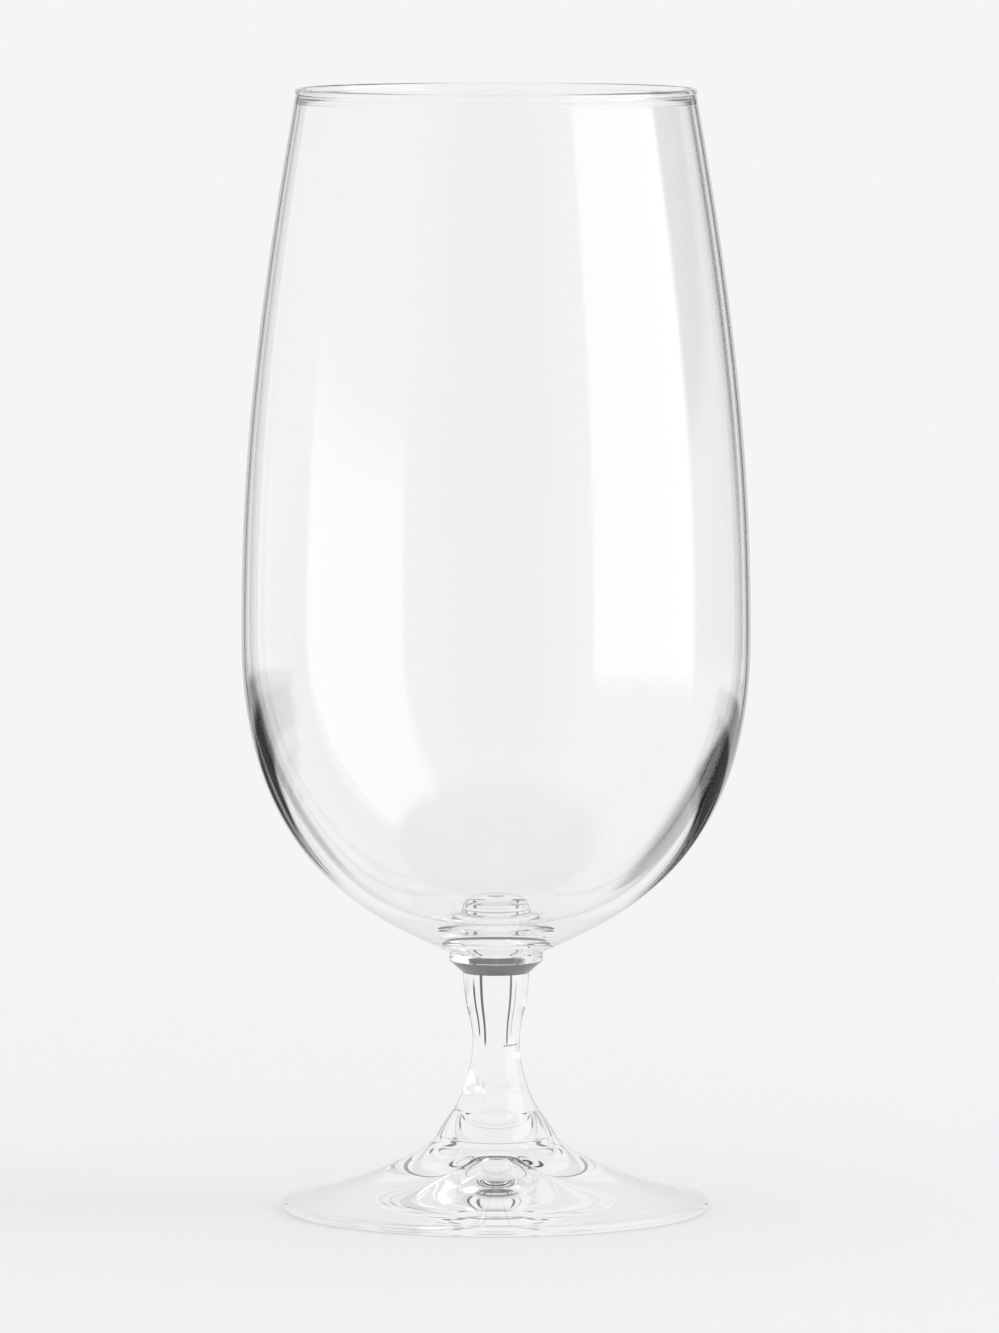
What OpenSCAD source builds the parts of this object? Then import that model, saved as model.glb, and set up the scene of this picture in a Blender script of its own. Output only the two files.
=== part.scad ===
// Water goblet: a tall tapered bowl on a short waisted stem and a round foot, all in clear glass.
// The pieces are stacked on the Z axis, face to face, and the goblet stands on the plane z = 0.
// Lengths are in millimetres, angles in degrees.

/* [Bowl] */
// Height of the bowl, from its seat on the collar to the lip
bowl_h = 151.5; // [130:0.5:175]
// Outer diameter of the bowl at the lip
rim_d = 70.3; // [62:0.1:80]
// Outer diameter of the bowl at its widest point
belly_d = 89.3; // [82:0.1:104]
// Height of the widest point above the bowl's seat
belly_h = 55.6; // [48:0.1:66]
// Height of the rounded button that stands up in the middle of the bowl's floor
button_h = 5; // [2:0.1:7]
// Diameter of the button
button_d = 11.6; // [9:0.1:14]

/* [Glass thickness] */
// Wall of the bowl just under the lip
rim_wall = 1; // [0.8:0.1:1.6]
// Wall of the bowl at its widest point
belly_wall = 1.3; // [1:0.1:2]
// Glass between the floor of the bowl and its seat, round the button
floor_t = 5.2; // [3:0.1:7]
// How far the rounded bead of the lip stands proud of the wall, on each side
lip_proud = 0.15; // [0.05:0.05:0.4]

/* [Bowl collar] */
// Height of the collar between the bowl and the stem
bowl_collar_h = 3.7; // [3:0.1:6]
// Diameter of the collar and of the bowl's seat on it
bowl_collar_d = 16.4; // [14:0.1:20]
// Height of the collar's upright band
bowl_collar_band = 1.4; // [1:0.1:2.2]

/* [Stem] */
// Height of the stem between the two collars
stem_h = 24.2; // [18:0.1:60]
// Diameter of the stem at its head, under the bowl collar
stem_head_d = 11.6; // [10:0.1:13]
// Diameter of the stem at its waist
waist_d = 8.3; // [7:0.1:9.6]
// Height of the waist above the stem's base
waist_h = 11.9; // [9:0.1:15]
// Diameter of the stem at its base, on the foot collar
stem_base_d = 15; // [13:0.1:17]

/* [Foot collar] */
// Height of the band of glass between the stem and the foot
foot_collar_h = 4.4; // [3:0.1:6]
// How far the band swells out past a straight cone
foot_collar_swell = 0.1; // [0:0.05:0.6]

/* [Foot] */
// Diameter of the foot
foot_d = 75.2; // [66:0.1:90]
// Height of the foot, from the table to its crown
foot_h = 13.2; // [10:0.1:18]
// Diameter of the foot's crown, where the foot collar sits
foot_crown_d = 20.8; // [18:0.1:24]
// Thickness of the foot at its rounded edge
foot_edge_t = 2; // [1.6:0.1:3]
// Width of the flat ring that the foot stands on
foot_ring_w = 2.6; // [1.5:0.1:5]
// Height of the hollow under the foot, at the top of its dome
hollow_h = 5.7; // [4.6:0.1:7]
// Height at which the side of the dome turns outwards
dome_base_h = 3.4; // [2.4:0.1:4]
// Diameter of the dome at that height
dome_d = 12; // [9:0.5:17]

/* [Hidden] */
// Pieces of the goblet, from the table up
// Piece that is drawn, or all of them
// Colour of the clear glass, with its see-through share
glass = [0.86, 0.93, 0.92, 0.45];
// Fineness of the turned faces
$fn = 180;
// Straight steps in each long curve of an outline
curve_steps = 26;
// Straight steps in each small rounding
round_steps = 8;

// Heights at which the pieces meet
foot_collar_z = foot_h;
stem_z = foot_collar_z + foot_collar_h;
bowl_collar_z = stem_z + stem_h;
bowl_z = bowl_collar_z + bowl_collar_h;
rim_z = bowl_z + bowl_h;
belly_z = bowl_z + belly_h;
floor_z = bowl_z + floor_t;
waist_z = stem_z + waist_h;

// Radii of the bowl and its lip bead
rim_r = rim_d / 2;
belly_r = belly_d / 2;
seat_r = bowl_collar_d / 2;
bead_r = rim_wall / 2 + lip_proud;
bead_z = rim_z - bead_r;
// Angle below the bead's centre at which the wall runs into it
bead_angle = acos(rim_wall / 2 / bead_r);
wall_top_r = rim_r - lip_proud;
wall_top_z = bead_z - bead_r * sin(bead_angle);

// Handles of the bowl's outline curves, as shares of the spans that they bend
rim_out_share = 0.81;
rim_down_share = 0.46;
belly_up_share = 0.28;
belly_down_share = 0.71;
seat_out_share = 0.385;
seat_up_share = 0.11;
inside_down_share = 0.685;
inside_floor_share = 0.46;

// Points of the button's outline, as shares of its radius and of its height
button_foot_share = 1.5;
button_root_share = 1.275;
button_low_share = 1.05;
button_low_up_share = 0.15;
button_mid_share = 1.025;
button_mid_up_share = 0.5;
button_high_up_share = 0.9;
button_top_share = 0.6;

// Rounding of the bowl collar's edges, and the angle at which it turns over to the cone below
collar_edge_r = 0.35;
cone_turn = 45;
// Rounding of the foot's edge
foot_edge_r = foot_edge_t / 2;

// Handles of the stem's outline curves, as shares of the spans that they bend
base_in_share = 0.5;
base_up_share = 0.2;
waist_down_share = 0.35;
waist_up_share = 0.41;
head_in_share = 0.12;
head_down_share = 0.59;

// Handles of the foot's outline curves, as shares of the spans that they bend
crown_out_share = 0.08;
crown_down_share = 0.3;
edge_in_share = 0.5;
edge_up_share = 0.23;
skirt_in_share = 0.4;
skirt_up_share = 0.35;
skirt_out_share = 0.3;
skirt_dip_share = 0.35;
dome_in_share = 0.3;
dome_up_share = 0.45;
dome_flat_share = 0.5;

// Points after a on the curve from a to d, which heads for b and arrives from c
function curve(a, b, c, d, steps = curve_steps) = [
    for (i = [1:steps])
        let (t = i / steps, u = 1 - t)
            u * u * u * a + 3 * u * u * t * b + 3 * u * t * t * c + t * t * t * d
];

// Points of an arc round a centre, both ends included
function arc(centre, radius, from, to, steps = round_steps) = [
    for (i = [0:steps])
        let (angle = from + (to - from) * i / steps)
            centre + radius * [cos(angle), sin(angle)]
];

// Handles of the wall's upper curve, outside or inside, from its radii at the lip and at the belly
function upper_start(r_top, r_belly) = [
    r_top + rim_out_share * (r_belly - r_top),
    wall_top_z - rim_down_share * (wall_top_z - belly_z)
];
function upper_end(r_belly) = [r_belly, belly_z + belly_up_share * (wall_top_z - belly_z)];

// A turned solid of glass from its half outline
module turned(outline) {
    color(glass)
        rotate_extrude()
            polygon(outline);
}

// Bowl: outside from the seat up, round the lip bead, down the inside to the floor, and over its button
module bowl() {
    in_top_r = wall_top_r - rim_wall;
    in_belly_r = belly_r - belly_wall;
    bead_c = [rim_r - bead_r, bead_z];
    seat = [seat_r, bowl_z];
    belly = [belly_r, belly_z];
    wall_top = [wall_top_r, wall_top_z];
    in_top = [in_top_r, wall_top_z];
    in_belly = [in_belly_r, belly_z];
    button_r = button_d / 2;
    button_mid = [button_mid_share * button_r, floor_z + button_mid_up_share * button_h];
    outside_low = curve(
        seat,
        [seat_r + seat_out_share * (belly_r - seat_r), bowl_z + seat_up_share * belly_h],
        [belly_r, belly_z - belly_down_share * belly_h],
        belly
    );
    outside_high = curve(belly, upper_end(belly_r), upper_start(wall_top_r, belly_r), wall_top);
    lip = arc(bead_c, bead_r, -bead_angle, 180 + bead_angle);
    inside_high = curve(in_top, upper_start(in_top_r, in_belly_r), upper_end(in_belly_r), in_belly);
    inside_low = curve(
        in_belly,
        [in_belly_r, belly_z - inside_down_share * (belly_z - floor_z)],
        [inside_floor_share * in_belly_r, floor_z],
        [button_foot_share * button_r, floor_z]
    );
    button_low = curve(
        [button_foot_share * button_r, floor_z],
        [button_root_share * button_r, floor_z],
        [button_low_share * button_r, floor_z + button_low_up_share * button_h],
        button_mid,
        round_steps
    );
    button_high = curve(
        button_mid,
        [button_r, floor_z + button_high_up_share * button_h],
        [button_top_share * button_r, floor_z + button_h],
        [0, floor_z + button_h]
    );
    bead = [for (i = [1:round_steps]) lip[i]];
    outside = concat(outside_low, outside_high, bead);
    inside = concat(inside_high, inside_low, button_low, button_high);
    turned(concat([[0, bowl_z], seat], outside, inside));
}

// Bowl collar: a disc with an upright band, and a cone below that runs down to the stem's head
module bowl_collar() {
    edge_r = seat_r - collar_edge_r;
    top_z = bowl_z - collar_edge_r;
    low_z = bowl_z - bowl_collar_band;
    turned(concat(
        [[0, bowl_collar_z], [stem_head_d / 2, bowl_collar_z]],
        arc([edge_r, low_z], collar_edge_r, -cone_turn, 0),
        arc([edge_r, top_z], collar_edge_r, 0, 90),
        [[0, bowl_z]]
    ));
}

// Stem: flared base, narrow waist and a head that widens towards the bowl collar
module stem() {
    base_r = stem_base_d / 2;
    waist_r = waist_d / 2;
    head_r = stem_head_d / 2;
    head_span = bowl_collar_z - waist_z;
    base = [base_r, stem_z];
    waist = [waist_r, waist_z];
    flare = curve(
        base,
        [base_r - base_in_share * (base_r - waist_r), stem_z + base_up_share * waist_h],
        [waist_r, waist_z - waist_down_share * waist_h],
        waist
    );
    neck = curve(
        waist,
        [waist_r, waist_z + waist_up_share * head_span],
        [head_r - head_in_share * (head_r - waist_r), bowl_collar_z - head_down_share * head_span],
        [head_r, bowl_collar_z]
    );
    turned(concat([[0, stem_z], base], flare, neck, [[0, bowl_collar_z]]));
}

// Foot collar: a slightly swollen band that carries the stem's flare on to the foot
module foot_collar() {
    low = [foot_crown_d / 2, foot_collar_z];
    high = [stem_base_d / 2, stem_z];
    swell = foot_collar_swell * [1, 1];
    side = curve(low, low + (high - low) / 3 + swell, high - (high - low) / 3 + swell, high, round_steps);
    turned(concat([[0, foot_collar_z], low], side, [[0, stem_z]]));
}

// Foot: sloping top from the crown to a rounded edge, a flat standing ring, and underneath it a hollow that is
// shallow at the ring and rises to a dome in the middle
module foot() {
    crown_r = foot_crown_d / 2;
    edge_c = [foot_d / 2 - foot_edge_r, foot_edge_r];
    span = edge_c.x - crown_r;
    drop = foot_h - foot_edge_t;
    ring_r = edge_c.x - foot_ring_w;
    crown = [crown_r, foot_h];
    top = curve(
        crown,
        crown + [crown_out_share * span, -crown_down_share * drop],
        [edge_c.x - edge_in_share * span, foot_edge_t + edge_up_share * drop],
        [edge_c.x, foot_edge_t]
    );
    edge = arc(edge_c, foot_edge_r, 90, -90);
    dome_r = dome_d / 2;
    skirt = curve(
        [ring_r, 0],
        [ring_r - skirt_in_share * (ring_r - dome_r), skirt_up_share * dome_base_h],
        [dome_r + skirt_out_share * (ring_r - dome_r), -skirt_dip_share * dome_base_h],
        [dome_r, dome_base_h]
    );
    dome = curve(
        [dome_r, dome_base_h],
        [dome_r - dome_in_share * dome_r, dome_base_h + dome_up_share * (hollow_h - dome_base_h)],
        [dome_flat_share * dome_r, hollow_h],
        [0, hollow_h]
    );
    rounded = [for (i = [1:round_steps]) edge[i]];
    turned(concat([crown], top, rounded, [[ring_r, 0]], skirt, dome, [[0, foot_h]]));
}

foot();
foot_collar();
stem();
bowl_collar();
bowl();
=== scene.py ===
"""Water goblet in clear glass: the looks of its five pieces, and the plain studio that it stands in."""

import math

import bpy
from bpy.props import FloatProperty, FloatVectorProperty, IntProperty, PointerProperty
from bpy.types import Operator, Panel, PropertyGroup
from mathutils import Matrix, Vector


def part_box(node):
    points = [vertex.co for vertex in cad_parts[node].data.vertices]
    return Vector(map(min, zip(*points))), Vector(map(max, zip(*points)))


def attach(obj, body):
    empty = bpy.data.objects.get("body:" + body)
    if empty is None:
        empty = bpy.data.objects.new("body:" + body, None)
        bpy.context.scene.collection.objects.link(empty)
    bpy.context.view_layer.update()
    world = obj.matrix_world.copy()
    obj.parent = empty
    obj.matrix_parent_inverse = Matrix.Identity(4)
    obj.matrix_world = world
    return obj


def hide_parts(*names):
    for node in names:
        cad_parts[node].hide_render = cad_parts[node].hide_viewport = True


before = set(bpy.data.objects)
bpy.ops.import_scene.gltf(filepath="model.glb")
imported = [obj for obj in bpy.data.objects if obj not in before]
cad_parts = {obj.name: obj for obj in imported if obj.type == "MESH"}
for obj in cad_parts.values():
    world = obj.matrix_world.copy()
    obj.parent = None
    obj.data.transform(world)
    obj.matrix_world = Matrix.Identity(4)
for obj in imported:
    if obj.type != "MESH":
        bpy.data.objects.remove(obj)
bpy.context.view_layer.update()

bl_info = {
    "name": "Water Goblet",
    "version": (1, 0, 0),
    "blender": (4, 5, 0),
    "location": "View3D > Sidebar > Goblet",
    "description": "Builds a clear-glass water goblet and a plain studio for it",
    "category": "Object",
}

BODY = "root"


# Settings

class GobletBowl(PropertyGroup):
    """Sizes of the bowl"""

    lip: FloatProperty(
        name="Lip diameter", description="Outer diameter at the lip", default=0.0703, unit="LENGTH")
    belly_height: FloatProperty(
        name="Belly height", description="Height of the widest point above the seat",
        default=0.0556, unit="LENGTH")
    lip_wall: FloatProperty(
        name="Wall at the lip", description="Thickness of the glass under the lip",
        default=0.001, unit="LENGTH")
    belly_wall: FloatProperty(
        name="Wall at the belly", description="Thickness of the glass at the widest point",
        default=0.0013, unit="LENGTH")
    floor: FloatProperty(
        name="Floor", description="Thickness of the glass round the button", default=0.0052, unit="LENGTH")
    button_height: FloatProperty(
        name="Button height", description="Height of the rounded button in the middle of the bowl's floor",
        default=0.005, unit="LENGTH")
    button: FloatProperty(
        name="Button", description="Diameter of the button", default=0.0116, unit="LENGTH")
    bead: FloatProperty(
        name="Bead", description="How far the lip's bead stands proud of the wall",
        default=0.00015, unit="LENGTH")


class GobletStem(PropertyGroup):
    """Sizes of the stem and of the two collars"""

    collar: FloatProperty(
        name="Bowl collar", description="Diameter of the collar under the bowl",
        default=0.0164, unit="LENGTH")
    band: FloatProperty(
        name="Collar band", description="Height of the bowl collar's upright band",
        default=0.0014, unit="LENGTH")
    head: FloatProperty(
        name="Head", description="Diameter of the stem under the bowl collar",
        default=0.0116, unit="LENGTH")
    waist: FloatProperty(
        name="Waist", description="Diameter of the stem where it is narrowest",
        default=0.0083, unit="LENGTH")
    waist_height: FloatProperty(
        name="Waist height", description="Height of the waist above the stem's base",
        default=0.0119, unit="LENGTH")
    base: FloatProperty(
        name="Base", description="Diameter of the stem on the foot collar", default=0.015, unit="LENGTH")
    swell: FloatProperty(
        name="Swell", description="How far the foot collar swells past a straight cone",
        default=0.0001, unit="LENGTH")


class GobletFoot(PropertyGroup):
    """Sizes of the foot"""

    crown: FloatProperty(
        name="Crown", description="Diameter of the crown under the foot collar",
        default=0.0208, unit="LENGTH")
    edge: FloatProperty(
        name="Edge", description="Thickness of the foot at its rounded edge", default=0.002, unit="LENGTH")
    ring: FloatProperty(
        name="Standing ring", description="Width of the flat ring that the foot stands on",
        default=0.0026, unit="LENGTH")
    hollow: FloatProperty(
        name="Hollow", description="Height of the hollow under the foot, at the top of its dome",
        default=0.0057, unit="LENGTH")
    dome_base: FloatProperty(
        name="Dome base", description="Height at which the side of the dome turns outwards",
        default=0.0034, unit="LENGTH")
    dome: FloatProperty(
        name="Dome", description="Diameter of the dome at its base", default=0.012, unit="LENGTH")


class GobletGlass(PropertyGroup):
    """Finish and fineness of the glass, with its painted edge shade and painted inner glow"""

    tint: FloatVectorProperty(
        name="Tint", description="Colour of the glass where light crosses it",
        default=(0.992, 0.996, 0.994), subtype="COLOR", min=0, max=1)
    # Painted shade: the glass's colour turns to this dark tone where it is seen edge on, in place of the dark
    # surroundings that real glass shows at its edges
    painted_edge_shade: FloatVectorProperty(
        name="Edge tint", description="Colour of the glass where it is seen edge on",
        default=(0.07, 0.082, 0.077), subtype="COLOR", min=0, max=1)
    edge_start: FloatProperty(
        name="Edge start", description="How far the glass is turned away where it starts to darken",
        default=0.71, subtype="FACTOR", min=0, max=1)
    edge_full: FloatProperty(
        name="Edge full", description="How far the glass is turned away where it is darkest",
        default=0.92, subtype="FACTOR", min=0, max=1)
    ior: FloatProperty(
        name="Refraction", description="Index of refraction of soda-lime glass", default=1.52, min=1, max=2)
    wave_height: FloatProperty(
        name="Wave height", description="Height of the faint waves in the surface",
        default=0.000004, unit="LENGTH", precision=6)
    inner_turns: IntProperty(
        name="Reflections in the glass", description="How often light is reflected before the count ends",
        default=4, min=1)
    crossings: IntProperty(
        name="Crossings of the glass", description="How many surfaces light meets before the count ends",
        default=12, min=1)
    # Painted glow: the glass emits at this level where the count of its reflections or crossings ends,
    # standing in for the light that is cut off
    painted_inner_glow: FloatProperty(
        name="Inner light", description="Level of the light that the count cuts off",
        default=0.8, min=0, max=1)
    turns: IntProperty(
        name="Facets round the axis", description="Flat faces in a full turn of each piece",
        default=192, min=48)
    steps: IntProperty(
        name="Steps in a curve", description="Straight steps in each long curve of an outline",
        default=72, min=12)


class GobletStudio(PropertyGroup):
    """Backdrop, floor, light and camera"""

    backdrop: FloatVectorProperty(
        name="Backdrop", description="Colour of the backdrop as the camera sees it",
        default=(0.913, 0.913, 0.913), subtype="COLOR", min=0, max=1)
    floor: FloatVectorProperty(
        name="Floor", description="Colour of the floor",
        default=(0.93, 0.93, 0.93), subtype="COLOR", min=0, max=1)
    floor_glow: FloatVectorProperty(
        name="Even floor", description="Colour of the floor where no light or shade falls on it",
        default=(0.892, 0.892, 0.892), subtype="COLOR", min=0, max=1)
    floor_evenness: FloatProperty(
        name="Floor evenness", description="Share of the floor's look that takes no light or shade",
        default=0.5, subtype="FACTOR", min=0, max=1)
    floor_radius: FloatProperty(
        name="Floor radius", description="Radius at which the floor has faded into the backdrop",
        default=0.6, unit="LENGTH")
    floor_in_glass: FloatProperty(
        name="Floor in the glass", description="Radius of the floor that the glass shows",
        default=0.18, unit="LENGTH")
    lamp_power: FloatProperty(
        name="Lamp power", description="Power in watts of the soft lamp on the right", default=2, min=0)
    lamp_size: FloatProperty(
        name="Lamp size", description="Diameter of the soft lamp", default=0.4, unit="LENGTH")
    lamp_place: FloatVectorProperty(
        name="Lamp place", description="Where the soft lamp hangs",
        default=(1, -0.12, 0.75), subtype="TRANSLATION", unit="LENGTH")
    camera_distance: FloatProperty(
        name="Camera distance", description="Distance from the camera to the goblet's axis",
        default=1.885, unit="LENGTH")
    camera_height: FloatProperty(
        name="Camera height", description="Height of the camera above the floor",
        default=0.255, unit="LENGTH")
    camera_side: FloatProperty(
        name="Camera offset", description="How far the camera stands to the right of the axis",
        default=0.0006, unit="LENGTH")
    camera_pitch: FloatProperty(
        name="Camera pitch", description="How far the camera looks down",
        default=math.radians(4.83), subtype="ANGLE")
    camera_reach: FloatProperty(
        name="Camera reach", description="Distance up to which the camera sees things",
        default=50, unit="LENGTH")
    lens: FloatProperty(name="Lens", description="Focal length in millimetres", default=291.4)


# Outlines and meshes

# Handles of the bowl's outline curves, as shares of the spans that they bend
SEAT_OUT, SEAT_UP = 0.385, 0.11
BELLY_DOWN, BELLY_UP = 0.71, 0.28
LIP_OUT, LIP_DOWN = 0.81, 0.46
INSIDE_DOWN, INSIDE_FLOOR = 0.685, 0.46

# Points of the button's outline, as shares of its radius and of its height: from the floor round it up to its
# side, and from there over to the middle of its top
BUTTON_LOW = ((1.5, 0), (1.275, 0), (1.05, 0.15), (1.025, 0.5))
BUTTON_HIGH = ((1.025, 0.5), (1, 0.9), (0.6, 1), (0, 1))

# Handles of the stem's outline curves, as shares of the spans that they bend
BASE_IN, BASE_UP = 0.5, 0.2
WAIST_DOWN, WAIST_UP = 0.35, 0.41
HEAD_IN, HEAD_DOWN = 0.12, 0.59

# Handles of the foot's outline curves, on top and underneath, as shares of the spans that they bend
CROWN_OUT, CROWN_DOWN = 0.08, 0.3
EDGE_IN, EDGE_UP = 0.5, 0.23
SKIRT_IN, SKIRT_UP = 0.4, 0.35
SKIRT_OUT, SKIRT_DIP = 0.3, 0.35
DOME_IN, DOME_UP, DOME_FLAT = 0.3, 0.45, 0.5

# Rounding of the bowl collar's edges, and the angle at which its band turns over to the cone below
COLLAR_ROUNDING = 0.00035
CONE_TURN = math.pi / 4

# Straight steps in the roundings of the foot's edge, of the bowl collar and of the lip
EDGE_STEPS, COLLAR_STEPS, BEAD_STEPS = 24, 12, 28


def curve(a, b, c, d, steps):
    """Points after a on the curve from a to d, which heads for b and arrives from c."""
    points = []
    for i in range(1, steps + 1):
        t = i / steps
        u = 1 - t
        weights = (u * u * u, 3 * u * u * t, 3 * u * t * t, t * t * t)
        points.append(tuple(sum(w * p[k] for w, p in zip(weights, (a, b, c, d))) for k in (0, 1)))
    return points


def arc(centre, radius, start, end, steps):
    """Points of an arc round a centre, both ends included. Angles are in radians."""
    angles = [start + (end - start) * i / steps for i in range(steps + 1)]
    return [(centre[0] + radius * math.cos(a), centre[1] + radius * math.sin(a)) for a in angles]


def full_circle(radius, count):
    """Points evenly spaced round the axis."""
    return arc((0, 0), radius, 0, 2 * math.pi, count)[:-1]


def between(a, b, share):
    """The value that lies at a share of the way from a to b."""
    return a + share * (b - a)


def turned(name, strokes, turns, materials):
    """A closed mesh turned about Z from strokes of (points, material index), creased where strokes meet.

    The first stroke starts on the axis, and the last one ends there. Each starts where the one before ends.
    """
    outline = [strokes[0][0][0]]
    finish, creases = [], []
    for points, material in strokes:
        creases.append(len(outline) - 1)
        finish += [material] * (len(points) - 1)
        outline += points[1:]
    inner = outline[1:-1]
    directions = full_circle(1, turns)
    vertices = [(r * x, r * y, z) for r, z in inner for x, y in directions]
    low, high = len(vertices), len(vertices) + 1
    vertices += [(0, 0, outline[0][1]), (0, 0, outline[-1][1])]
    faces, indices = [], []
    for k in range(turns):
        faces.append((low, (k + 1) % turns, k))
        indices.append(finish[0])
    for ring in range(len(inner) - 1):
        for k in range(turns):
            a, b = ring * turns + k, ring * turns + (k + 1) % turns
            faces.append((a, b, b + turns, a + turns))
            indices.append(finish[ring + 1])
    last = (len(inner) - 1) * turns
    for k in range(turns):
        faces.append((last + k, last + (k + 1) % turns, high))
        indices.append(finish[-1])
    mesh = bpy.data.meshes.new(name)
    mesh.from_pydata(vertices, [], faces)
    for material in materials:
        mesh.materials.append(material)
    mesh.polygons.foreach_set("material_index", indices)
    mesh.polygons.foreach_set("use_smooth", [True] * len(faces))
    creased = {c - 1 for c in creases[1:]}
    for edge in mesh.edges:
        a, b = edge.vertices
        if a < low and b < low and a // turns == b // turns and a // turns in creased:
            edge.use_edge_sharp = True
    mesh.update()
    return mesh


# Nodes

def feed(tree, socket, value):
    """Sets the socket to the value, or links it where the value is another node's output."""
    if isinstance(value, bpy.types.NodeSocket):
        tree.links.new(value, socket)
    else:
        socket.default_value = value


def math_node(tree, operation, *values):
    """Output of a Math node whose inputs are numbers or sockets."""
    node = tree.nodes.new("ShaderNodeMath")
    node.operation = operation
    for socket, value in zip(node.inputs, values):
        feed(tree, socket, value)
    return node.outputs["Value"]


def switched(tree, switch, off, on):
    """Value that is off where the switch is 0 and on where it is 1."""
    return math_node(tree, "MULTIPLY_ADD", switch, on - off, off)


def smooth_range(tree, value, low, high, start=0, end=1):
    """Value that goes smoothly from start, where the given value is low, to end, where it is high."""
    node = tree.nodes.new("ShaderNodeMapRange")
    node.interpolation_type = "SMOOTHSTEP"
    inputs = {"Value": value, "From Min": low, "From Max": high, "To Min": start, "To Max": end}
    for socket, wanted in inputs.items():
        feed(tree, node.inputs[socket], wanted)
    return node.outputs["Result"]


def mixed(tree, share, first, second):
    """Output of a Mix Shader that goes from the first shader to the second as the share grows."""
    node = tree.nodes.new("ShaderNodeMixShader")
    for socket, output in zip(node.inputs, (share, first, second)):
        tree.links.new(output, socket)
    return node.outputs["Shader"]


def shown_by_glass(tree, rays):
    """Value that is 1 for what the glass mirrors or lets through, and 0 for all other light."""
    return math_node(tree, "MAXIMUM", rays["Is Glossy Ray"], rays["Is Transmission Ray"])


# Glass

# Scales of the noise for the slow waves, and for the fine rings, which run round the axis
WAVE_SCALE, RING_SCALE = 60, (6, 6, 260)

# Heights above its seat between which the bowl's thick bottom turns into its thin wall
BOTTOM_HEIGHT, WALL_HEIGHT = 0.009, 0.018

# Share of the painted edge shade that the bowl's bottom has, and share of the painted inner glow that its
# wall has
BOTTOM_PAINTED_EDGE_SHADE, WALL_PAINTED_GLOW = 0.55, 0.2


def glass_waves():
    """Group that gives the height of the faint waves that fire polishing leaves in the glass."""
    name = "glass_waves"
    if name in bpy.data.node_groups:
        return bpy.data.node_groups[name]
    group = bpy.data.node_groups.new(name, "ShaderNodeTree")
    group.interface.new_socket("Rings", in_out="INPUT", socket_type="NodeSocketFloat")
    group.interface.new_socket("Waves", in_out="INPUT", socket_type="NodeSocketFloat")
    group.interface.new_socket("Height", in_out="OUTPUT", socket_type="NodeSocketFloat")
    start = group.nodes.new("NodeGroupInput")
    end = group.nodes.new("NodeGroupOutput")
    coordinates = group.nodes.new("ShaderNodeTexCoord")
    waves = group.nodes.new("ShaderNodeTexNoise")
    waves.inputs["Scale"].default_value = WAVE_SCALE
    waves.inputs["Detail"].default_value = 1
    group.links.new(coordinates.outputs["Object"], waves.inputs["Vector"])
    stretch = group.nodes.new("ShaderNodeMapping")
    stretch.inputs["Scale"].default_value = RING_SCALE
    group.links.new(coordinates.outputs["Object"], stretch.inputs["Vector"])
    rings = group.nodes.new("ShaderNodeTexNoise")
    rings.inputs["Scale"].default_value = 1
    rings.inputs["Detail"].default_value = 2
    group.links.new(stretch.outputs["Vector"], rings.inputs["Vector"])
    waves_part = math_node(group, "MULTIPLY", waves.outputs["Fac"], start.outputs["Waves"])
    rings_part = math_node(group, "MULTIPLY", rings.outputs["Fac"], start.outputs["Rings"])
    group.links.new(math_node(group, "ADD", waves_part, rings_part), end.inputs["Height"])
    return group


def wavy_normal(tree, settings, rings, waves):
    """Normal of the glass, tilted by the faint waves, with shares for the fine rings and the slow waves."""
    height = tree.nodes.new("ShaderNodeGroup")
    height.node_tree = glass_waves()
    height.inputs["Rings"].default_value = rings
    height.inputs["Waves"].default_value = waves
    bump = tree.nodes.new("ShaderNodeBump")
    bump.inputs["Distance"].default_value = settings.wave_height
    bump.inputs["Strength"].default_value = 1
    tree.links.new(height.outputs["Height"], bump.inputs["Height"])
    return bump.outputs["Normal"]


def height_fade(tree, low, high, start, end):
    """Value that goes smoothly from start, at and below the low height, to end, at and above the high one."""
    coordinates = tree.nodes.new("ShaderNodeTexCoord")
    split = tree.nodes.new("ShaderNodeSeparateXYZ")
    tree.links.new(coordinates.outputs["Object"], split.inputs["Vector"])
    return smooth_range(tree, split.outputs["Z"], low, high, start, end)


def glass_colour_with_painted_edge_shade(tree, settings, share):
    """Colour of the glass with painted shade, which darkens it by a share, a number or a socket, where it is
    seen edge on.
    """
    facing = tree.nodes.new("ShaderNodeLayerWeight")
    turned_away = smooth_range(tree, facing.outputs["Facing"], settings.edge_start, settings.edge_full)
    ramp = tree.nodes.new("ShaderNodeValToRGB")
    ramp.color_ramp.elements[0].color = (*settings.tint, 1)
    ramp.color_ramp.elements[1].color = (*settings.painted_edge_shade, 1)
    tree.links.new(math_node(tree, "MULTIPLY", turned_away, share), ramp.inputs["Fac"])
    return ramp.outputs["Color"]


def painted_late_glow(tree, settings, level):
    """Painted glow: an emission at a set level where the count of the light's turns in the glass ends, in
    place of the light still going to and fro.
    """
    rays = tree.nodes.new("ShaderNodeLightPath").outputs
    turns = math_node(tree, "GREATER_THAN", rays["Glossy Depth"], settings.inner_turns + 0.5)
    crossings = math_node(tree, "GREATER_THAN", rays["Ray Depth"], settings.crossings + 0.5)
    return math_node(tree, "MULTIPLY", math_node(tree, "MAXIMUM", turns, crossings), level)


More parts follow.
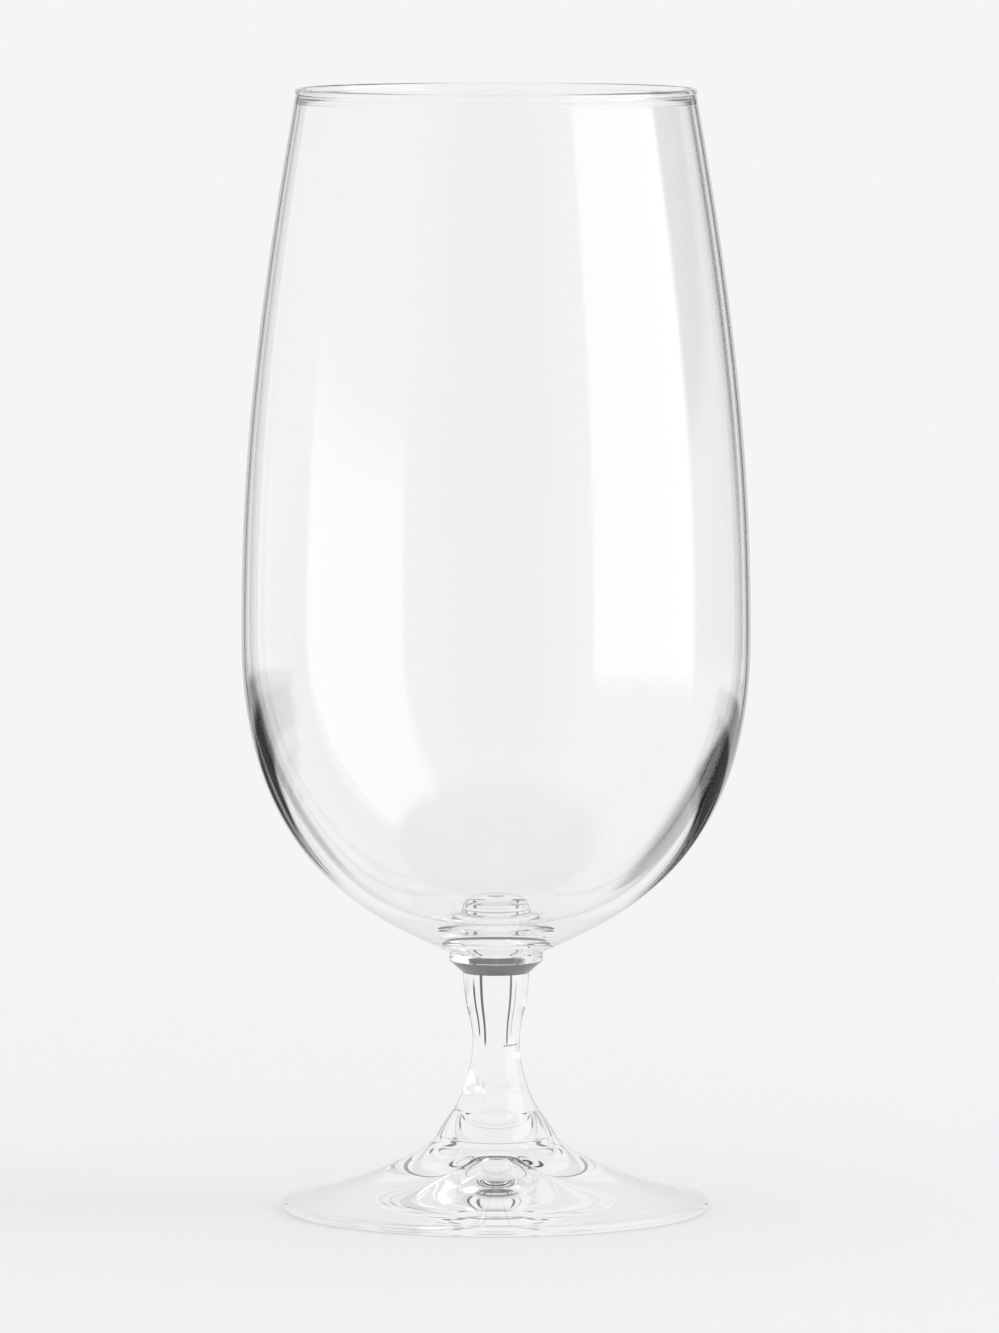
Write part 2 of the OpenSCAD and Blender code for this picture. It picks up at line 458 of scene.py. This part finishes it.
def clear_glass(name, rings, waves, edge=1, painted_inner_glow=1, wall=None):
    """Clear glass, with shares for its rings, its waves, its painted shade at the edge and its painted inner
    glow.

    A wall is the pair of heights between which the thick bottom of the bowl turns into its thin wall.
    """
    settings = bpy.context.scene.goblet_glass
    material = bpy.data.materials.new(name)
    material.use_nodes = True
    material.cycles.emission_sampling = "NONE"
    tree = material.node_tree
    shader = tree.nodes["Principled BSDF"]
    level = settings.painted_inner_glow * painted_inner_glow
    if wall:
        edge = height_fade(tree, *wall, edge * BOTTOM_PAINTED_EDGE_SHADE, edge)
        level = height_fade(tree, *wall, level, level * WALL_PAINTED_GLOW)
    # Painted shade at the edges, carried by the base colour
    tree.links.new(glass_colour_with_painted_edge_shade(tree, settings, edge), shader.inputs["Base Color"])
    tree.links.new(wavy_normal(tree, settings, rings, waves), shader.inputs["Normal"])
    # Painted glow: emission where the count of the light's turns or crossings ends
    tree.links.new(painted_late_glow(tree, settings, level), shader.inputs["Emission Color"])
    shader.inputs["Emission Strength"].default_value = 1
    shader.inputs["Metallic"].default_value = 0
    shader.inputs["Roughness"].default_value = 0
    shader.inputs["IOR"].default_value = settings.ior
    shader.inputs["Transmission Weight"].default_value = 1
    return material


def fused_face():
    """Face where two gathers of glass are fused: light crosses it as if it weren't there."""
    name = "fused_face"
    if name in bpy.data.materials:
        return bpy.data.materials[name]
    material = bpy.data.materials.new(name)
    material.use_nodes = True
    tree = material.node_tree
    tree.nodes.clear()
    clear = tree.nodes.new("ShaderNodeBsdfTransparent")
    end = tree.nodes.new("ShaderNodeOutputMaterial")
    tree.links.new(clear.outputs["BSDF"], end.inputs["Surface"])
    return material


# Pieces

# What a stroke's faces are made of: the piece's own glass, or the face where it is fused to the next piece
GLASS, FUSED = 0, 1


def add_piece(name, node, strokes, glass):
    """Adds a piece in its own glass, which stands for the CAD node and rides on the goblet's body."""
    mesh = turned(name, strokes, bpy.context.scene.goblet_glass.turns, (glass, fused_face()))
    piece = bpy.data.objects.new(name, mesh)
    bpy.context.scene.collection.objects.link(piece)
    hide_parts(node)
    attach(piece, BODY)


class GOBLET_OT_add_foot(Operator):
    """Add the round foot, with a sloping top, a rounded edge and a domed hollow underneath"""

    bl_idname = "goblet.add_foot"
    bl_label = "Add Foot"
    bl_options = {"REGISTER", "UNDO"}

    def execute(self, context):
        sizes, steps = context.scene.goblet_foot, context.scene.goblet_glass.steps
        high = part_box("foot")[1]
        edge_r = sizes.edge / 2
        edge_x = high.x - edge_r
        ring_r, crown_r = edge_x - sizes.ring, sizes.crown / 2
        span, drop = edge_x - crown_r, high.z - sizes.edge
        dome_r, dome_z = sizes.dome / 2, sizes.dome_base
        top, dome, ring, crown = (0, sizes.hollow), (dome_r, dome_z), (ring_r, 0), (crown_r, high.z)
        hollow = [top]
        hollow += curve(
            top, (DOME_FLAT * dome_r, sizes.hollow),
            ((1 - DOME_IN) * dome_r, between(dome_z, sizes.hollow, DOME_UP)), dome, steps)
        hollow += curve(
            dome, (between(dome_r, ring_r, SKIRT_OUT), -SKIRT_DIP * dome_z),
            (between(ring_r, dome_r, SKIRT_IN), SKIRT_UP * dome_z), ring, steps)
        edge = arc((edge_x, edge_r), edge_r, -math.pi / 2, math.pi / 2, EDGE_STEPS)
        slope = curve(
            edge[-1], (edge_x - EDGE_IN * span, sizes.edge + EDGE_UP * drop),
            (crown_r + CROWN_OUT * span, high.z - CROWN_DOWN * drop), crown, steps)
        strokes = [
            (hollow, GLASS),
            ([ring, edge[0]], GLASS),
            (edge + slope, GLASS),
            ([crown, (0, high.z)], FUSED),
        ]
        # The foot takes half the painted edge shade
        add_piece("Foot", "foot", strokes, clear_glass("foot_glass", rings=0.4, waves=1, edge=0.5))
        return {"FINISHED"}


class GOBLET_OT_add_foot_collar(Operator):
    """Add the low band of glass between the stem and the foot"""

    bl_idname = "goblet.add_foot_collar"
    bl_label = "Add Foot Collar"
    bl_options = {"REGISTER", "UNDO"}

    def execute(self, context):
        sizes, steps = context.scene.goblet_stem, context.scene.goblet_glass.steps
        low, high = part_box("foot_collar")
        crown = (context.scene.goblet_foot.crown / 2, low.z)
        base = (sizes.base / 2, high.z)
        lower = tuple(between(a, b, 1 / 3) + sizes.swell for a, b in zip(crown, base))
        upper = tuple(between(a, b, 2 / 3) + sizes.swell for a, b in zip(crown, base))
        strokes = [
            ([(0, low.z), crown], FUSED),
            ([crown] + curve(crown, lower, upper, base, steps // 2), GLASS),
            ([base, (0, high.z)], FUSED),
        ]
        glass = clear_glass("foot_collar_glass", rings=0.3, waves=0.6)
        add_piece("Foot_collar", "foot_collar", strokes, glass)
        return {"FINISHED"}


class GOBLET_OT_add_stem(Operator):
    """Add the short waisted stem"""

    bl_idname = "goblet.add_stem"
    bl_label = "Add Stem"
    bl_options = {"REGISTER", "UNDO"}

    def execute(self, context):
        sizes, steps = context.scene.goblet_stem, context.scene.goblet_glass.steps
        low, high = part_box("stem")
        base_r, waist_r, head_r = sizes.base / 2, sizes.waist / 2, sizes.head / 2
        waist_z = low.z + sizes.waist_height
        head_span = high.z - waist_z
        base, waist, head = (base_r, low.z), (waist_r, waist_z), (head_r, high.z)
        flare = curve(
            base, (between(base_r, waist_r, BASE_IN), low.z + BASE_UP * sizes.waist_height),
            (waist_r, waist_z - WAIST_DOWN * sizes.waist_height), waist, steps)
        neck = curve(
            waist, (waist_r, waist_z + WAIST_UP * head_span),
            (between(head_r, waist_r, HEAD_IN), high.z - HEAD_DOWN * head_span), head, steps)
        strokes = [
            ([(0, low.z), base], FUSED),
            ([base] + flare + neck, GLASS),
            ([head, (0, high.z)], FUSED),
        ]
        add_piece("Stem", "stem", strokes, clear_glass("stem_glass", rings=0.3, waves=0.6))
        return {"FINISHED"}


class GOBLET_OT_add_bowl_collar(Operator):
    """Add the small disc of glass between the stem and the bowl"""

    bl_idname = "goblet.add_bowl_collar"
    bl_label = "Add Bowl Collar"
    bl_options = {"REGISTER", "UNDO"}

    def execute(self, context):
        sizes = context.scene.goblet_stem
        low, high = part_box("bowl_collar")
        edge_x = sizes.collar / 2 - COLLAR_ROUNDING
        head = (sizes.head / 2, low.z)
        lower = arc((edge_x, high.z - sizes.band), COLLAR_ROUNDING, -CONE_TURN, 0, COLLAR_STEPS)
        upper = arc((edge_x, high.z - COLLAR_ROUNDING), COLLAR_ROUNDING, 0, math.pi / 2, COLLAR_STEPS)
        strokes = [
            ([(0, low.z), head], FUSED),
            ([head] + lower + upper, GLASS),
            ([upper[-1], (0, high.z)], FUSED),
        ]
        glass = clear_glass("bowl_collar_glass", rings=0.3, waves=0.6, painted_inner_glow=0.12)
        add_piece("Bowl_collar", "bowl_collar", strokes, glass)
        return {"FINISHED"}


class GOBLET_OT_add_bowl(Operator):
    """Add the tall bowl, with a beaded lip and a wall that thickens towards the bottom"""

    bl_idname = "goblet.add_bowl"
    bl_label = "Add Bowl"
    bl_options = {"REGISTER", "UNDO"}

    def execute(self, context):
        sizes, steps = context.scene.goblet_bowl, context.scene.goblet_glass.steps
        low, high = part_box("bowl")
        seat_r, belly_r, lip_r = context.scene.goblet_stem.collar / 2, high.x, sizes.lip / 2
        belly_z, floor_z = low.z + sizes.belly_height, low.z + sizes.floor
        bead_r = sizes.lip_wall / 2 + sizes.bead
        bead_z = high.z - bead_r
        bead_turn = math.acos(sizes.lip_wall / 2 / bead_r)
        top_r, top_z = lip_r - sizes.bead, bead_z - bead_r * math.sin(bead_turn)
        in_top_r, in_belly_r = top_r - sizes.lip_wall, belly_r - sizes.belly_wall
        rise = top_z - belly_z

        def upper_handles(r_top, r_belly):
            at_belly = (r_belly, belly_z + BELLY_UP * rise)
            at_top = (between(r_top, r_belly, LIP_OUT), top_z - LIP_DOWN * rise)
            return at_belly, at_top

        def on_button(shares):
            return [(r * sizes.button / 2, floor_z + z * sizes.button_height) for r, z in shares]

        seat, belly, top = (seat_r, low.z), (belly_r, belly_z), (top_r, top_z)
        in_top, in_belly = (in_top_r, top_z), (in_belly_r, belly_z)
        button_low, button_high = on_button(BUTTON_LOW), on_button(BUTTON_HIGH)
        outside = curve(
            seat, (between(seat_r, belly_r, SEAT_OUT), low.z + SEAT_UP * sizes.belly_height),
            (belly_r, belly_z - BELLY_DOWN * sizes.belly_height), belly, steps)
        outside += curve(belly, *upper_handles(top_r, belly_r), top, steps)
        bead = arc((lip_r - bead_r, bead_z), bead_r, -bead_turn, math.pi + bead_turn, BEAD_STEPS)
        at_belly, at_top = upper_handles(in_top_r, in_belly_r)
        inside = curve(in_top, at_top, at_belly, in_belly, steps)
        inside += curve(
            in_belly, (in_belly_r, belly_z - INSIDE_DOWN * (belly_z - floor_z)),
            (INSIDE_FLOOR * in_belly_r, floor_z), button_low[0], steps)
        inside += curve(*button_low, steps // 4)
        inside += curve(*button_high, steps // 2)
        joint = (seat_r - COLLAR_ROUNDING, low.z)
        strokes = [
            ([(0, low.z), joint], FUSED),
            ([joint, seat], GLASS),
            ([seat] + outside + bead[1:] + inside, GLASS),
        ]
        wall = (low.z + BOTTOM_HEIGHT, low.z + WALL_HEIGHT)
        add_piece("Bowl", "bowl", strokes, clear_glass("bowl_glass", rings=1, waves=1, wall=wall))
        return {"FINISHED"}


# Studio

# What stands round the goblet, as the glass shows it. Each panel covers those before it, and is (name,
# azimuth, half width, side softness, lowest, highest, end softness, brightness), all but the last in degrees.
# Azimuth 0 is behind the goblet, and it grows to the right.
PANELS = (
    ("ceiling", 0, 180, 5, 50, 90, 14, 0.12),
    ("white surround", 0, 150, 40, -90, 48, 14, 0.905),
    ("right wall", 54, 24, 8, -7, 48, 6, 0.66),
    ("right table end", 31, 23, 4, -60, -12, 1.5, 0.0),
    ("left table end", -42, 29, 4, -20, -9, 2, 0.0),
    ("left sheet", -34, 24, 4, -60, -24, 3, 0.2),
    ("right card", 19.5, 2, 1.5, -8.5, 45, 6, 0.1),
    ("left card", -19.5, 1.6, 1.5, -8.5, 45, 6, 0.15),
    ("right stand", 33, 2, 1.5, -2, 45, 5, 0.05),
    ("left stand", -28, 1, 1, -2, 45, 5, 0.5),
    ("window", 106.5, 28.5, 3, -11, 52, 6, 1.9),
)

# Panels that the glass mirrors, but that don't show straight through it: there it shows what lies under them,
# so that the goblet is as clear from the sides and the back as it is from the front
MIRRORED_ONLY = ("right wall", "window")

# Brightness where no panel is: in what the glass mirrors, and in what shows straight through it
ROOM, BACKDROP = 0.72, 0.905

# What a panel's group takes of its extent, in the order of PANELS
PANEL_EXTENT = ("Centre", "Half width", "Side softness", "Low", "High", "End softness")

# Where the floor starts to fade, as a share of the radius at which it is gone: for the eye, and in the glass
FLOOR_FADE, GLASS_FADE = 0.3, 0.9

# Sides of the floor, and how far it lies below the goblet's foot, so that the two share no face
FLOOR_SIDES = 96
FLOOR_DROP = 0.00002


def panel_mask():
    """Group that gives 1 inside a panel of the surroundings and 0 outside it, with soft sides."""
    name = "panel_mask"
    if name in bpy.data.node_groups:
        return bpy.data.node_groups[name]
    group = bpy.data.node_groups.new(name, "ShaderNodeTree")
    for socket in ("Azimuth", "Elevation") + PANEL_EXTENT:
        group.interface.new_socket(socket, in_out="INPUT", socket_type="NodeSocketFloat")
    group.interface.new_socket("Mask", in_out="OUTPUT", socket_type="NodeSocketFloat")
    start = group.nodes.new("NodeGroupInput").outputs
    end = group.nodes.new("NodeGroupOutput")

    def inside(distance, softness):
        half = math_node(group, "MULTIPLY", softness, 0.5)
        return smooth_range(group, distance, math_node(group, "MULTIPLY", half, -1), half)

    offset = math_node(group, "SUBTRACT", start["Azimuth"], start["Centre"])
    turn = math_node(group, "ABSOLUTE", math_node(group, "WRAP", offset, 180, -180))
    within = inside(math_node(group, "SUBTRACT", start["Half width"], turn), start["Side softness"])
    above = inside(math_node(group, "SUBTRACT", start["Elevation"], start["Low"]), start["End softness"])
    below = inside(math_node(group, "SUBTRACT", start["High"], start["Elevation"]), start["End softness"])
    mask = math_node(group, "MULTIPLY", within, math_node(group, "MULTIPLY", above, below))
    group.links.new(mask, end.inputs["Mask"])
    return group


def surroundings(tree, mirrored):
    """Brightness of what the glass shows all round. The value mirrored is 1 for what it mirrors, else 0."""
    direction = tree.nodes.new("ShaderNodeTexCoord").outputs["Generated"]
    split = tree.nodes.new("ShaderNodeSeparateXYZ")
    tree.links.new(direction, split.inputs["Vector"])
    azimuth = math_node(tree, "ARCTAN2", split.outputs["X"], split.outputs["Y"])
    azimuth = math_node(tree, "DEGREES", azimuth)
    elevation = math_node(tree, "DEGREES", math_node(tree, "ARCSINE", split.outputs["Z"]))
    level = switched(tree, mirrored, BACKDROP, ROOM)
    for name, *extent, brightness in PANELS:
        panel = tree.nodes.new("ShaderNodeGroup")
        panel.node_tree = panel_mask()
        panel.label = name
        for socket, value in zip(PANEL_EXTENT, extent):
            panel.inputs[socket].default_value = value
        tree.links.new(azimuth, panel.inputs["Azimuth"])
        tree.links.new(elevation, panel.inputs["Elevation"])
        share = panel.outputs["Mask"]
        if name in MIRRORED_ONLY:
            share = math_node(tree, "MULTIPLY", share, mirrored)
        mix = tree.nodes.new("ShaderNodeMix")
        tree.links.new(share, mix.inputs["Factor"])
        tree.links.new(level, mix.inputs["A"])
        mix.inputs["B"].default_value = brightness
        level = mix.outputs["Result"]
    return level


def studio_light(settings):
    """World that lights evenly and looks plain, while the glass shows the panels that stand round it."""
    world = bpy.data.worlds.new("Studio")
    world.use_nodes = True
    tree = world.node_tree
    tree.nodes.clear()
    rays = tree.nodes.new("ShaderNodeLightPath").outputs
    mirrored = math_node(tree, "GREATER_THAN", rays["Glossy Depth"], 0.5)
    room = tree.nodes.new("ShaderNodeBackground")
    tree.links.new(surroundings(tree, mirrored), room.inputs["Color"])
    plain = tree.nodes.new("ShaderNodeBackground")
    plain.inputs["Color"].default_value = (*settings.backdrop, 1)
    seen = mixed(
        tree, shown_by_glass(tree, rays), plain.outputs["Background"], room.outputs["Background"])
    end = tree.nodes.new("ShaderNodeOutputWorld")
    tree.links.new(seen, end.inputs["Surface"])
    return world


def floor_finish(settings):
    """Matt pale floor that fades out towards its rim and is clear from below."""
    material = bpy.data.materials.new("pale_floor")
    material.use_nodes = True
    tree = material.node_tree
    matt = tree.nodes["Principled BSDF"]
    matt.inputs["Base Color"].default_value = (*settings.floor, 1)
    matt.inputs["Roughness"].default_value = 0.9
    matt.inputs["Specular IOR Level"].default_value = 0
    glow = tree.nodes.new("ShaderNodeEmission")
    glow.inputs["Color"].default_value = (*settings.floor_glow, 1)
    rays = tree.nodes.new("ShaderNodeLightPath").outputs
    in_glass = shown_by_glass(tree, rays)
    even = math_node(tree, "MULTIPLY", rays["Is Camera Ray"], settings.floor_evenness)
    even = math_node(tree, "MAXIMUM", in_glass, even)
    seen = mixed(tree, even, matt.outputs["BSDF"], glow.outputs["Emission"])
    coordinates = tree.nodes.new("ShaderNodeTexCoord")
    radius = tree.nodes.new("ShaderNodeVectorMath")
    radius.operation = "LENGTH"
    tree.links.new(coordinates.outputs["Object"], radius.inputs[0])
    eye_radius, glass_radius = settings.floor_radius, settings.floor_in_glass
    fade_start = switched(tree, in_glass, eye_radius * FLOOR_FADE, glass_radius * GLASS_FADE)
    fade_end = switched(tree, in_glass, eye_radius, glass_radius)
    fade = smooth_range(tree, radius.outputs["Value"], fade_start, fade_end)
    side = tree.nodes.new("ShaderNodeNewGeometry")
    clear_share = math_node(tree, "MAXIMUM", fade, side.outputs["Backfacing"])
    clear = tree.nodes.new("ShaderNodeBsdfTransparent")
    surface = mixed(tree, clear_share, seen, clear.outputs["BSDF"])
    tree.links.new(surface, tree.nodes["Material Output"].inputs["Surface"])
    return material


class GOBLET_OT_add_studio(Operator):
    """Add the pale floor, the soft light and the camera"""

    bl_idname = "goblet.add_studio"
    bl_label = "Add Studio"
    bl_options = {"REGISTER", "UNDO"}

    def execute(self, context):
        scene, settings = context.scene, context.scene.goblet_studio
        mesh = bpy.data.meshes.new("Floor")
        corners = [(x, y, 0) for x, y in full_circle(settings.floor_radius, FLOOR_SIDES)]
        mesh.from_pydata(corners, [], [tuple(range(FLOOR_SIDES))])
        mesh.materials.append(floor_finish(settings))
        floor = bpy.data.objects.new("Floor", mesh)
        floor.location.z = -FLOOR_DROP
        scene.collection.objects.link(floor)
        scene.world = studio_light(settings)
        light = bpy.data.lights.new("Lamp", "AREA")
        light.shape = "DISK"
        light.size = settings.lamp_size
        light.energy = settings.lamp_power
        lamp = bpy.data.objects.new("Lamp", light)
        lamp.location = settings.lamp_place
        lamp.rotation_euler = Vector(lamp.location).to_track_quat("Z", "Y").to_euler()
        lamp.visible_glossy = False
        lamp.visible_transmission = False
        scene.collection.objects.link(lamp)
        lens = bpy.data.cameras.new("Camera")
        lens.lens = settings.lens
        lens.clip_end = settings.camera_reach
        camera = bpy.data.objects.new("Camera", lens)
        camera.location = (settings.camera_side, -settings.camera_distance, settings.camera_height)
        camera.rotation_euler = (math.pi / 2 - settings.camera_pitch, 0, 0)
        scene.collection.objects.link(camera)
        scene.camera = camera
        scene.view_settings.view_transform = "Standard"
        return {"FINISHED"}


class GOBLET_PT_pieces(Panel):
    """Lists the goblet's pieces and its studio"""

    bl_idname = "GOBLET_PT_pieces"
    bl_label = "Water Goblet"
    bl_space_type = "VIEW_3D"
    bl_region_type = "UI"
    bl_category = "Goblet"

    def draw(self, context):
        for operator in BUILD_ORDER:
            self.layout.operator(operator.bl_idname)


BUILD_ORDER = (
    GOBLET_OT_add_foot,
    GOBLET_OT_add_foot_collar,
    GOBLET_OT_add_stem,
    GOBLET_OT_add_bowl_collar,
    GOBLET_OT_add_bowl,
    GOBLET_OT_add_studio,
)
SETTINGS = {
    "goblet_bowl": GobletBowl,
    "goblet_stem": GobletStem,
    "goblet_foot": GobletFoot,
    "goblet_glass": GobletGlass,
    "goblet_studio": GobletStudio,
}


def register():
    for group in SETTINGS.values():
        bpy.utils.register_class(group)
    for name, group in SETTINGS.items():
        setattr(bpy.types.Scene, name, PointerProperty(type=group))
    for operator in BUILD_ORDER:
        bpy.utils.register_class(operator)
    bpy.utils.register_class(GOBLET_PT_pieces)


def unregister():
    bpy.utils.unregister_class(GOBLET_PT_pieces)
    for operator in reversed(BUILD_ORDER):
        bpy.utils.unregister_class(operator)
    for name, group in SETTINGS.items():
        delattr(bpy.types.Scene, name)
        bpy.utils.unregister_class(group)


def main():
    register()
    bpy.ops.goblet.add_foot()
    bpy.ops.goblet.add_foot_collar()
    bpy.ops.goblet.add_stem()
    bpy.ops.goblet.add_bowl_collar()
    bpy.ops.goblet.add_bowl()
    bpy.ops.goblet.add_studio()


if __name__ == "__main__":
    main()
